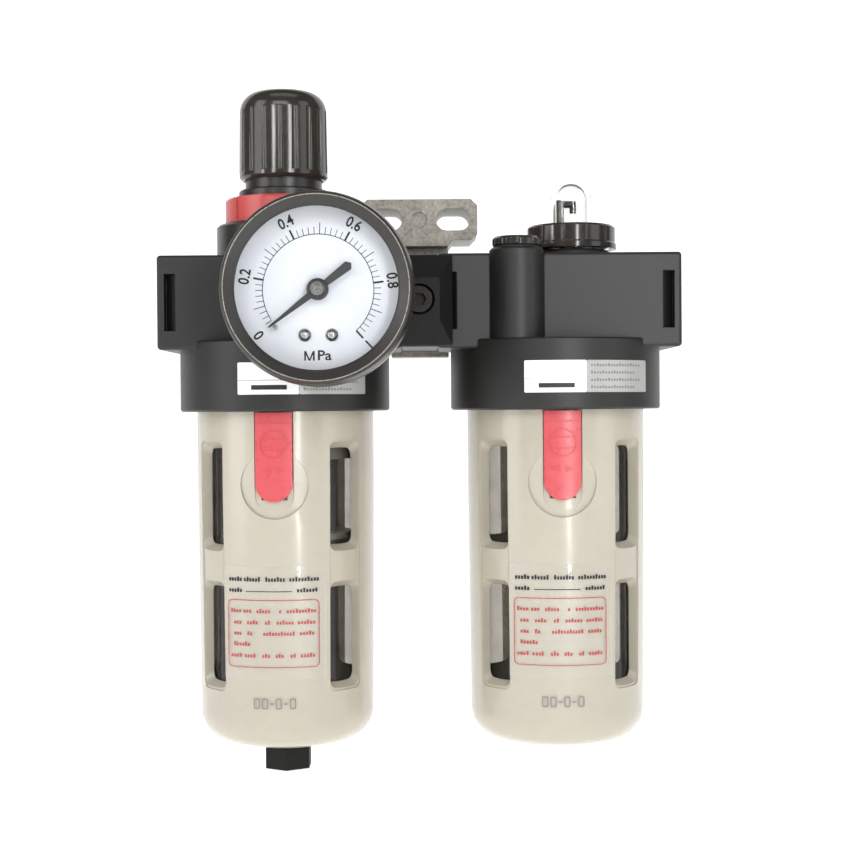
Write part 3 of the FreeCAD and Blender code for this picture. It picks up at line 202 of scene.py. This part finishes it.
LOOKS = {
    "cast_black": surface("cast_black", shade(13, 12, 11), shade(22, 21, 20), 0.46, 20, 0.5, 0.02, 0.5),
    "bonnet_black": surface("bonnet_black", shade(26, 24, 22), shade(36, 34, 32), 0.34, 16, 0.6, 0.012,
                            0.4),
    "knob_black": surface("knob_black", shade(38, 35, 30), shade(50, 46, 41), 0.15, 14, 2.5, 0.003,
                          0.35, vary=0.02),
    "ring_red": surface("ring_red", shade(176, 66, 64), shade(192, 80, 78), 0.34, 12, 0.8, 0.008,
                        0.35),
    "guard_beige": surface("guard_beige", shade(166, 160, 146), shade(172, 166, 152), 0.24, 30, 3.5,
                           0.002, 0.35, coat=0.25, soft=0.1, vary=0.02),
    "button_red": surface("button_red", shade(188, 72, 78), shade(194, 79, 84), 0.3, 14, 3, 0.003, 0.3,
                          soft=0.1),
    "clear_bowl": see_through("clear_bowl", (0.8, 0.79, 0.77, 1), (0.73, 0.72, 0.7, 1), 0.06,
                              sheen=0.45),
    "clear_lens": see_through("clear_lens", (0.985, 0.99, 0.99, 1), (0.97, 0.975, 0.98, 1), 0.03,
                              20),
    "bracket_grey": surface("bracket_grey", shade(76, 71, 64), shade(182, 176, 165), 0.42, 4.2, 1.1,
                            0.03, 0.4, metallic=0.2, vary=0.1),
    "clamp_black": surface("clamp_black", shade(7, 7, 7), shade(16, 15, 14), 0.6, 5, 0.6, 0.03, 0.3,
                           specular=0.25),
    "black_steel": surface("black_steel", shade(22, 21, 20), shade(40, 38, 36), 0.35, 6, 0.5, 0.01, 0.25,
                           metallic=0.6),
    "steel": surface("steel", shade(150, 148, 145), shade(192, 190, 186), 0.28, 8, 0.4, 0.008, 0.15,
                     metallic=1),
    "brass": surface("brass", shade(176, 142, 78), shade(204, 170, 102), 0.3, 8, 0.4, 0.008, 0.15,
                     metallic=1),
    "rubber": surface("rubber", shade(22, 22, 22), shade(34, 34, 34), 0.62, 8, 0.5, 0.02, 0.15),
    "white_plastic": surface("white_plastic", shade(150, 148, 142), shade(168, 166, 160), 0.4, 12,
                             0.6, 0.01, 0.2),
    "element": surface("element", shade(84, 81, 76), shade(100, 97, 92), 0.8, 8, 1.2, 0.03, 0.2),
    "bezel_black": surface("bezel_black", shade(26, 25, 23), shade(36, 34, 32), 0.36, 18, 0.6, 0.004, 0.6,
                           vary=0.03),
    "dial_white": surface("dial_white", shade(226, 228, 234), shade(232, 234, 240), 0.45, 22, 0.8,
                          0.004, 0.1),
    "needle_black": surface("needle_black", shade(44, 44, 46), shade(58, 58, 60), 0.4, 6, 0.6, 0.006,
                            0.12),
}
GLOSS_BROWN = surface("gloss_brown", shade(38, 34, 31), shade(52, 48, 44), 0.14, 10, 2, 0.003, 0.35,
                      vary=0.02)
DOME = glass("sight_clear", (0.96, 0.96, 0.95, 1), 0.015)
INK = surface("ink", shade(18, 18, 19), shade(30, 30, 31), 0.5, 5, 0.5, 0.003, 0)
GREY_INK = surface("grey_ink", shade(112, 112, 112), shade(132, 132, 132), 0.5, 5, 0.5, 0.003, 0)
# Light grey glossy metal for the thin hoop on the black bezel's edge: partly a real bead that catches the
# lamps, partly a painted highlight in its light colour.
BEZEL_GLINT_PAINT = surface("bezel_glint_paint", shade(128, 123, 113), shade(168, 163, 152), 0.3, 6, 0.8, 0.004, 0,
                    metallic=0.5)
# Darker red for the raised marks on the release buttons: painted shade, standing in for the shade in the
# marks' grooves.
BUTTON_MARK_SHADE = surface("button_mark_shade", shade(180, 62, 68), shade(190, 70, 75), 0.4, 8, 1, 0.004, 0)
RED_INK = surface("red_ink", shade(168, 62, 58), shade(184, 78, 72), 0.45, 5, 0.5, 0.003, 0)
LABEL_WHITE = surface("label_white", shade(236, 236, 236), shade(244, 244, 244), 0.4, 18, 0.8, 0.004,
                      0)
LABEL_SILVER = surface("label_silver", shade(158, 158, 156), shade(174, 174, 171), 0.35, 10, 0.6,
                       0.004, 0, metallic=0.3)
FILM = see_through("label_film", (1, 1, 0.998, 1), (0.99, 0.99, 0.985, 1), 0.05, 14, 0.5, 0.05)
PIPE = surface("dark_pipe", shade(52, 50, 46), shade(74, 71, 66), 0.4, 8, 0.5, 0.006, 0.15,
               metallic=0.4)

SPECIAL = {"drip_ring": GLOSS_BROWN, "fill_plug": GLOSS_BROWN, "sight_dome": DOME, "drip_tube": PIPE,
           "drip_needle": PIPE, "drain_knob": LOOKS["clamp_black"]}
for name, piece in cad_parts.items():
    finish = piece.data.materials[0].name.split(".")[0]
    look = SPECIAL.get(name, LOOKS[finish])
    for at in range(len(piece.data.materials)):
        piece.data.materials[at] = look


# ---------------------------------------------------------------- thin printed and raised pieces

def rounded(width, height, radius, at=(0, 0), steps=6):
    """Outline of a rounded rectangle about a point."""
    points = []
    for corner, (side, end) in enumerate(((1, 1), (-1, 1), (-1, -1), (1, -1))):
        middle = (at[0] + side * (width / 2 - radius), at[1] + end * (height / 2 - radius))
        for step in range(steps + 1):
            turn = math.pi / 2 * (corner + step / steps)
            points.append((middle[0] + radius * math.cos(turn), middle[1] + radius * math.sin(turn)))
    return points


def bar(width, height, at):
    right, up = at
    return [(right - width / 2, up - height / 2), (right + width / 2, up - height / 2),
            (right + width / 2, up + height / 2), (right - width / 2, up + height / 2)]


def circle(radius, at=(0, 0), count=48):
    return [(at[0] + radius * math.cos(2 * math.pi * step / count),
             at[1] + radius * math.sin(2 * math.pi * step / count)) for step in range(count)]


def band(outer, inner, closed=True):
    """Four-sided pieces between two outlines."""
    last = len(outer) if closed else len(outer) - 1
    return [[outer[at], outer[(at + 1) % len(outer)], inner[(at + 1) % len(outer)], inner[at]]
            for at in range(last)]


def sheet_of(polygons, thick, lift, step=0):
    """Flat outlines in x and z made into plates; y is the height over the surface they lie on."""
    mesh = bmesh.new()
    for points in polygons:
        mesh.faces.new([mesh.verts.new((right, lift, up)) for right, up in points])
    bmesh.ops.remove_doubles(mesh, verts=mesh.verts, dist=0.001)
    if step:
        reach = max(abs(vert.co.x) for vert in mesh.verts)
        for at in range(-int(reach / step), int(reach / step) + 1):
            bmesh.ops.bisect_plane(mesh, geom=mesh.verts[:] + mesh.edges[:] + mesh.faces[:],
                                   plane_co=(at * step, 0, 0), plane_no=(1, 0, 0), dist=0.0001)
    grown = bmesh.ops.extrude_face_region(mesh, geom=mesh.faces[:])
    for item in grown["geom"]:
        if isinstance(item, bmesh.types.BMVert):
            item.co.y += thick
    return mesh


def on_drum(mesh, middle, radius, turn=0):
    """Bends plates round an upright drum, facing the front or turned from it by an angle."""
    for vert in mesh.verts:
        across, proud, up = vert.co
        angle = math.asin(across / radius) + math.radians(turn)
        reach = radius + proud
        vert.co = (middle.x + reach * math.sin(angle), middle.y - reach * math.cos(angle), up)
    return mesh


def on_face(mesh, right, front, up):
    """Lays plates on an upright face that looks to the front."""
    for vert in mesh.verts:
        vert.co = (right + vert.co.x, front - vert.co.y, up + vert.co.z)
    return mesh


def finished(name, mesh, look, body, smooth=35):
    """A piece of the object from a mesh in millimetres."""
    bmesh.ops.recalc_face_normals(mesh, faces=mesh.faces)
    bmesh.ops.scale(mesh, vec=(MM, MM, MM), verts=mesh.verts)
    data = bpy.data.meshes.new(name)
    mesh.to_mesh(data)
    mesh.free()
    data.shade_smooth()
    data.set_sharp_from_angle(angle=math.radians(smooth))
    data.materials.append(look)
    piece = bpy.data.objects.new(name, data)
    scene.collection.objects.link(piece)
    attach(piece, body)
    return piece


# ---------------------------------------------------------------- dial print

GAUGE = centre_of("gauge_bezel")
DIAL_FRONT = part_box("gauge_dial")[0].y / MM
ZERO = 223.6
SWEEP = -271
NEEDLE_REST = 217


def polar(radius, angle):
    return (radius * math.cos(math.radians(angle)), radius * math.sin(math.radians(angle)))


def dial_angle(value):
    """Direction of a reading from 0 to 1."""
    return ZERO + SWEEP * value


def tick(inner, outer, width, angle):
    along = Vector(polar(1, angle))
    aside = Vector((-along.y, along.x)) * width / 2
    return [tuple(along * inner - aside), tuple(along * outer - aside),
            tuple(along * outer + aside), tuple(along * inner + aside)]


def lettering(text, height, right, up, turn=0, narrow=0.85, bold=0.03):
    """Flat outlines of a text, its middle at a spot, turned by an angle in degrees."""
    curve = bpy.data.curves.new("text", "FONT")
    curve.body = text
    curve.align_x = "CENTER"
    curve.align_y = "CENTER"
    curve.size = height / 0.7
    curve.offset = bold * height
    curve.resolution_u = 4
    holder = bpy.data.objects.new("text", curve)
    flat = bpy.data.meshes.new_from_object(holder)
    spin = Matrix.Rotation(math.radians(turn), 2)
    outlines = []
    for face in flat.polygons:
        corners = [spin @ Vector((narrow * flat.vertices[at].co.x, flat.vertices[at].co.y))
                   for at in face.vertices]
        outlines.append([(corner.x + right, corner.y + up) for corner in corners])
    bpy.data.objects.remove(holder)
    bpy.data.meshes.remove(flat)
    return outlines


ARC_RADIUS = 17.25
marks = []
for step in range(2, 51):
    angle = dial_angle(step / 50)
    if step % 10 == 0:
        marks.append(tick(ARC_RADIUS, 20.4, 0.62, angle))
    elif step % 5 == 0:
        marks.append(tick(ARC_RADIUS, 20.85, 0.26, angle))
    else:
        marks.append(tick(ARC_RADIUS, 19.5, 0.22, angle))
arc = [dial_angle(step / 90) for step in range(4, 91)]
finished("dial_scale", on_face(sheet_of(marks, 0.03, 0.02), GAUGE.x, DIAL_FRONT, GAUGE.z),
         INK, "frame")
finished("dial_arc", on_face(sheet_of(band([polar(ARC_RADIUS + 0.13, angle) for angle in arc],
                                           [polar(ARC_RADIUS - 0.13, angle) for angle in arc], False),
                                      0.03, 0.03), GAUGE.x, DIAL_FRONT, GAUGE.z),
         INK, "frame")
figures = []
for at, text in enumerate(("0", "0.2", "0.4", "0.6", "0.8", "1")):
    angle = dial_angle(at / 5) if at else NEEDLE_REST
    figures += lettering(text, 3.3, *polar(23, angle), turn=angle - 90)
figures += lettering("Pa", 3, 1.75, -20.4, narrow=1.12, bold=0.03)
figures += [bar(0.55, 3, (-4.2, -20.4)), bar(0.55, 3, (-1.5, -20.4)),
            [(-4.45, -18.9), (-3.9, -18.9), (-2.6, -21.9), (-3.1, -21.9)],
            [(-1.8, -18.9), (-1.25, -18.9), (-2.6, -21.9), (-3.1, -21.9)]]
finished("dial_figures", on_face(sheet_of(figures, 0.03, 0.02), GAUGE.x, DIAL_FRONT, GAUGE.z),
         INK, "frame")

# ---------------------------------------------------------------- painted highlight hoop on the edge of the gauge bezel

BEZEL_LOW, BEZEL_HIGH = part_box("gauge_bezel")
EDGE_INSET = 1.65
EDGE_RADIUS = (BEZEL_HIGH.x - BEZEL_LOW.x) / 2 / MM - EDGE_INSET
EDGE_THICK = 0.16
EDGE_SUNK = 0.06


def hoop(radius, thick, middle, front, around=144, about=8):
    """A thin round wire hoop that faces the front."""
    mesh = bmesh.new()
    loops = []
    for step in range(around):
        turn = 2 * math.pi * step / around
        loops.append([])
        for side in range(about):
            lean = 2 * math.pi * side / about
            reach = radius + thick * math.cos(lean)
            spot = (middle.x + reach * math.cos(turn), front + thick * math.sin(lean),
                    middle.z + reach * math.sin(turn))
            loops[-1].append(mesh.verts.new(spot))
    for step in range(around):
        here, ahead = loops[step], loops[(step + 1) % around]
        for side in range(about):
            after = (side + 1) % about
            mesh.faces.new((here[side], ahead[side], ahead[after], here[after]))
    return mesh


# The hoop on the bezel's edge is a painted highlight: a light grey line standing in for the glint along
# that edge.
finished("bezel_glint_hoop", hoop(EDGE_RADIUS, EDGE_THICK, GAUGE, BEZEL_LOW.y / MM + EDGE_SUNK),
         BEZEL_GLINT_PAINT, "frame", 180)

# ---------------------------------------------------------------- labels and button marks of both units

COLLAR_RADIUS = 35.5
GUARD_RADIUS = 30
BUTTON_RADIUS = 30.35
LABEL_LEFT = -12.5
LABEL_RIGHT = 28
LABEL_LOW = -61.4
LABEL_HIGH = -51.1
LABEL_SPLIT = 7.4
PLATE_THICK = 0.04
PLATE_LIFT = 0.03
PRINT_LIFT = 0.075
FILM_PRINT_LIFT = 0.08
STEP_ACROSS = 1.2
FILM_AT = (-0.5, -135.5)
FRAME_AT = (-0.9, -138.9)
CODE_LEVEL = -161.6
CIRCLE_LEVEL = -77.6
ARROW_LEVEL = -86.1
LETTER_PITCH = 0.95
LETTER_WIDE = 0.62
SMALL = 1.3


def words(row, spans, height):
    """Rows of small upright dashes, standing for lines of print that is left out."""
    dashes = []
    for first, last in spans:
        count = max(1, round((last - first) / LETTER_PITCH))
        for step in range(count):
            tall = height * (0.72 if (step * 5 + round(last)) % 4 else 1)
            middle = (first + LETTER_PITCH * (step + 0.5), row - (height - tall) / 2)
            dashes.append(bar(LETTER_WIDE, tall, middle))
    return dashes


for unit, x_node, turn in (("filter", "filter_bowl", -2.8), ("lubricator", "lubricator_bowl", 0)):
    middle = centre_of(x_node)
    cup = unit + "_cup"
    release = unit + "_release"
    tall = LABEL_HIGH - LABEL_LOW
    level = (LABEL_HIGH + LABEL_LOW) / 2
    white_at = (LABEL_LEFT + LABEL_SPLIT) / 2
    silver_at = (LABEL_SPLIT + LABEL_RIGHT) / 2
    white_wide = LABEL_SPLIT - LABEL_LEFT
    silver_wide = LABEL_RIGHT - LABEL_SPLIT

    def collar_piece(name, outlines, look, lift):
        plates = sheet_of(outlines, PLATE_THICK, lift, STEP_ACROSS)
        finished(unit + name, on_drum(plates, middle, COLLAR_RADIUS), look, "frame")

    collar_piece("_label_white", [rounded(white_wide - 0.1, tall, 0.4, (white_at, level))],
                 LABEL_WHITE, PLATE_LIFT)
    collar_piece("_label_silver", [rounded(silver_wide - 0.1, tall, 0.4, (silver_at, level))],
                 LABEL_SILVER, PLATE_LIFT)
    collar_piece("_label_lines", [bar(white_wide - 0.4, 0.14, (white_at, level - 0.6)),
                                  bar(11.5, 1.5, (white_at + 0.3, level - 2.9))],
                 INK, PRINT_LIFT)
    rows = []
    for row in range(4):
        reach = 17.5 - 2.2 * (row % 2)
        rows += words(level + 3.6 - 2.35 * row, [(LABEL_SPLIT + 1.2, LABEL_SPLIT + 1.2 + reach)], 1)
    collar_piece("_label_rows", rows, GREY_INK, PRINT_LIFT)

    def guard_piece(name, outlines, look, lift, thick=PLATE_THICK):
        plates = sheet_of(outlines, thick, lift, STEP_ACROSS)
        finished(unit + name, on_drum(plates, middle, GUARD_RADIUS, turn), look, cup)

    guard_piece("_film", [rounded(33.6, 36.6, 1, FILM_AT)], FILM, 0.02, 0.05)
    guard_piece("_film_lines",
                words(-121.2, [(-15.6, -11.3), (-10.4, -4.6), (-3.2, 3.6), (4.6, 14)], 1.5)
                + words(-124.8, [(-15.6, -11.2), (7, 13.8)], 1.4) + [bar(15, 0.22, (-2, -125.2))],
                INK, FILM_PRINT_LIFT)
    guard_piece("_film_frame",
                band(rounded(30, 22, 1.6, FRAME_AT), rounded(29.5, 21.5, 1.4, FRAME_AT)),
                RED_INK, FILM_PRINT_LIFT)
    guard_piece("_film_rows",
                words(-131.5, [(-15, -11.6), (-10.6, -7.4), (-6.2, -1.4), (1.2, 2.6), (3.7, 12.8)], SMALL)
                + words(-135.2, [(-14, -10.8), (-9.4, -5.8), (-3.4, -1.4), (0.4, 5.8), (7.2, 12.8)],
                        SMALL)
                + words(-138.8, [(-14, -10.8), (-9.4, -7.6), (-4, 6), (7.8, 12.8)], SMALL)
                + words(-142.3, [(-14, -8.4)], SMALL)
                + words(-146, [(-15, -11.4), (-10.2, -6.6), (-4.4, -1.4), (0, 3.2), (4.8, 7), (8, 13)],
                        SMALL),
                RED_INK, FILM_PRINT_LIFT)
    boxes = []
    for at in (-6.2, -3.5, 1, 5.6):
        spot = (at, CODE_LEVEL)
        boxes += band(rounded(2, 3.4, 0.5, spot), rounded(1.3, 2.7, 0.3, spot))
    boxes += [bar(1.3, 0.4, (-1.2, CODE_LEVEL)), bar(1.3, 0.4, (3.3, CODE_LEVEL))]
    guard_piece("_code", boxes, GREY_INK, 0.0)

    # Button marks take the darker red of painted shade.
    def button_piece(name, outlines, thick):
        plates = sheet_of(outlines, thick + 0.05, -0.05, 1)
        finished(unit + name, on_drum(plates, middle, BUTTON_RADIUS, turn),
                 BUTTON_MARK_SHADE, release)

    button_piece("_button_circle",
                 band(circle(4.55, (0, CIRCLE_LEVEL)), circle(4.2, (0, CIRCLE_LEVEL))), 0.22)
    button_piece("_button_bars", [bar(8.2, 0.3, (0, CIRCLE_LEVEL - 1.8)),
                                  bar(8.2, 0.3, (0, CIRCLE_LEVEL + 1.8))], 0.2)
    button_piece("_button_step", [bar(11.9, 0.4, (0, -70.7))], 0.2)
    button_piece("_button_arrows",
                 [[(-3.6, ARROW_LEVEL), (-1, ARROW_LEVEL - 1.2), (-1, ARROW_LEVEL + 1.2)],
                  [(3.6, ARROW_LEVEL), (1, ARROW_LEVEL + 1.2), (1, ARROW_LEVEL - 1.2)]], 0.2)

# ---------------------------------------------------------------- springs wound as round wire in place of the CAD springs

WIRE_SIDES = 8
STEPS_A_TURN = 28


def wound(node, wire, pitch):
    """Round wire wound in the space of a CAD spring, from its lowest coil to its highest."""
    low, high = (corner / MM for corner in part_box(node))
    centre = (low + high) / 2
    mean = (high.x - low.x) / 2 - wire
    rise = high.z - low.z - 2 * wire
    mesh = bmesh.new()
    rings = []
    count = round(STEPS_A_TURN * rise / pitch)
    for step in range(count + 1):
        turn = 2 * math.pi * step / STEPS_A_TURN
        level = low.z + wire + rise * step / count
        rings.append([])
        for side in range(WIRE_SIDES):
            lean = 2 * math.pi * side / WIRE_SIDES
            reach = mean + wire * math.cos(lean)
            spot = (centre.x + reach * math.cos(turn), centre.y + reach * math.sin(turn),
                    level + wire * math.sin(lean))
            rings[-1].append(mesh.verts.new(spot))
    for here, ahead in zip(rings, rings[1:]):
        for side in range(WIRE_SIDES):
            after = (side + 1) % WIRE_SIDES
            mesh.faces.new((here[side], here[after], ahead[after], ahead[side]))
    mesh.faces.new(rings[0])
    mesh.faces.new(rings[-1])
    return mesh, centre, high.z


for node, wire, pitch, body, joint, fixed_end in (
        ("regulating_spring", 1.3, 5.1, "frame", "nut_travel", -14.3),
        ("valve_spring", 0.4, 2.2, "frame", "valve_travel", -49.85),
        ("filter_button_spring", 0.16, 1.2, "filter_cup", "filter_release_slide", -95.5),
        ("lubricator_button_spring", 0.16, 1.2, "lubricator_cup", "lubricator_release_slide", -95.5)):
    mesh, centre, top = wound(node, wire, pitch)
    spring = finished(node + "_wire", mesh, LOOKS["steel"], body)
    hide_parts(node)
    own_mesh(spring)

# ---------------------------------------------------------------- floor, light and camera

FLOOR_Z = cad_box[0].z - 0.0004
FLOOR_NEAR = -2.5
FLOOR_FAR = 1.2
FLOOR_BEND = 0.8
FLOOR_WIDE = 4
sweep = bmesh.new()
profile = [(FLOOR_NEAR, 0), (FLOOR_FAR, 0)]
for turn in range(10, 91, 10):
    profile.append((FLOOR_FAR + FLOOR_BEND * math.sin(math.radians(turn)),
                    FLOOR_BEND - FLOOR_BEND * math.cos(math.radians(turn))))
profile.append((FLOOR_FAR + FLOOR_BEND, 3.0))
strips = [[sweep.verts.new((side, run, FLOOR_Z + rise)) for side in (-FLOOR_WIDE, FLOOR_WIDE)]
          for run, rise in profile]
for low, high in zip(strips, strips[1:]):
    sweep.faces.new((low[0], low[1], high[1], high[0]))
floor_mesh = bpy.data.meshes.new("floor")
sweep.to_mesh(floor_mesh)
sweep.free()
floor_mesh.shade_smooth()
floor = bpy.data.objects.new("floor", floor_mesh)
scene.collection.objects.link(floor)
floor_look = surface("pale_floor", shade(244, 244, 243), shade(250, 250, 249), 0.7, 300, 20, 0.01, 0)
floor_shader = [item for item in floor_look.node_tree.nodes if item.type == "BSDF_PRINCIPLED"][0]
floor_shader.inputs["Emission Color"].default_value = (1, 1, 1, 1)
floor_shader.inputs["Emission Strength"].default_value = 0.8
floor_mesh.materials.append(floor_look)

world = bpy.data.worlds.new("studio")
world.use_nodes = True
world.node_tree.nodes["Background"].inputs["Color"].default_value = (1, 1, 1, 1)
world.node_tree.nodes["Background"].inputs["Strength"].default_value = 0.12
scene.world = world


def lamp(name, spot, aim, width, height, power):
    """A soft rectangular light."""
    data = bpy.data.lights.new(name, "AREA")
    data.shape = "RECTANGLE"
    data.size = width
    data.size_y = height
    data.energy = power
    light = bpy.data.objects.new(name, data)
    light.location = spot
    light.rotation_euler = (Vector(aim) - Vector(spot)).to_track_quat("-Z", "Y").to_euler()
    scene.collection.objects.link(light)


TARGET = (0, -0.04, -0.07)
KNOB_TARGET = (-0.036, -0.05, 0.04)
lamp("left_box", (-0.95, -0.55, 0.25), TARGET, 0.5, 1.0, 4.5)
lamp("right_box", (0.95, -0.55, 0.25), TARGET, 0.5, 1.0, 2.4)
lamp("top_box", (0, -0.25, 0.95), TARGET, 0.8, 0.4, 1.2)
lamp("front_box", (-0.1, -1.0, 0.48), TARGET, 0.7, 0.35, 3)
lamp("near_strip", (0.17, -0.62, 0.02), TARGET, 0.05, 0.4, 1.3)
lamp("knob_left", (-0.34, -0.8, 0.19), KNOB_TARGET, 0.07, 0.09, 0.5)
lamp("knob_right", (0.36, -0.8, 0.2), KNOB_TARGET, 0.07, 0.09, 0.5)
lamp("knob_edge", (-0.75, -0.62, 0.14), KNOB_TARGET, 0.05, 0.12, 0.4)

CAMERA_DROP = 0.647
CAMERA_ROLL = -0.43
camera_data = bpy.data.cameras.new("camera")
camera_data.lens = 67.54
camera_data.sensor_width = 36
camera = bpy.data.objects.new("camera", camera_data)
camera.location = (0.00155, -0.585, -0.0658)
level_look = Matrix.Rotation(math.radians(90 - CAMERA_DROP), 3, "X")
camera.rotation_euler = (level_look @ Matrix.Rotation(math.radians(CAMERA_ROLL), 3, "Z")).to_euler()
scene.collection.objects.link(camera)
scene.camera = camera
scene.view_settings.view_transform = "Standard"
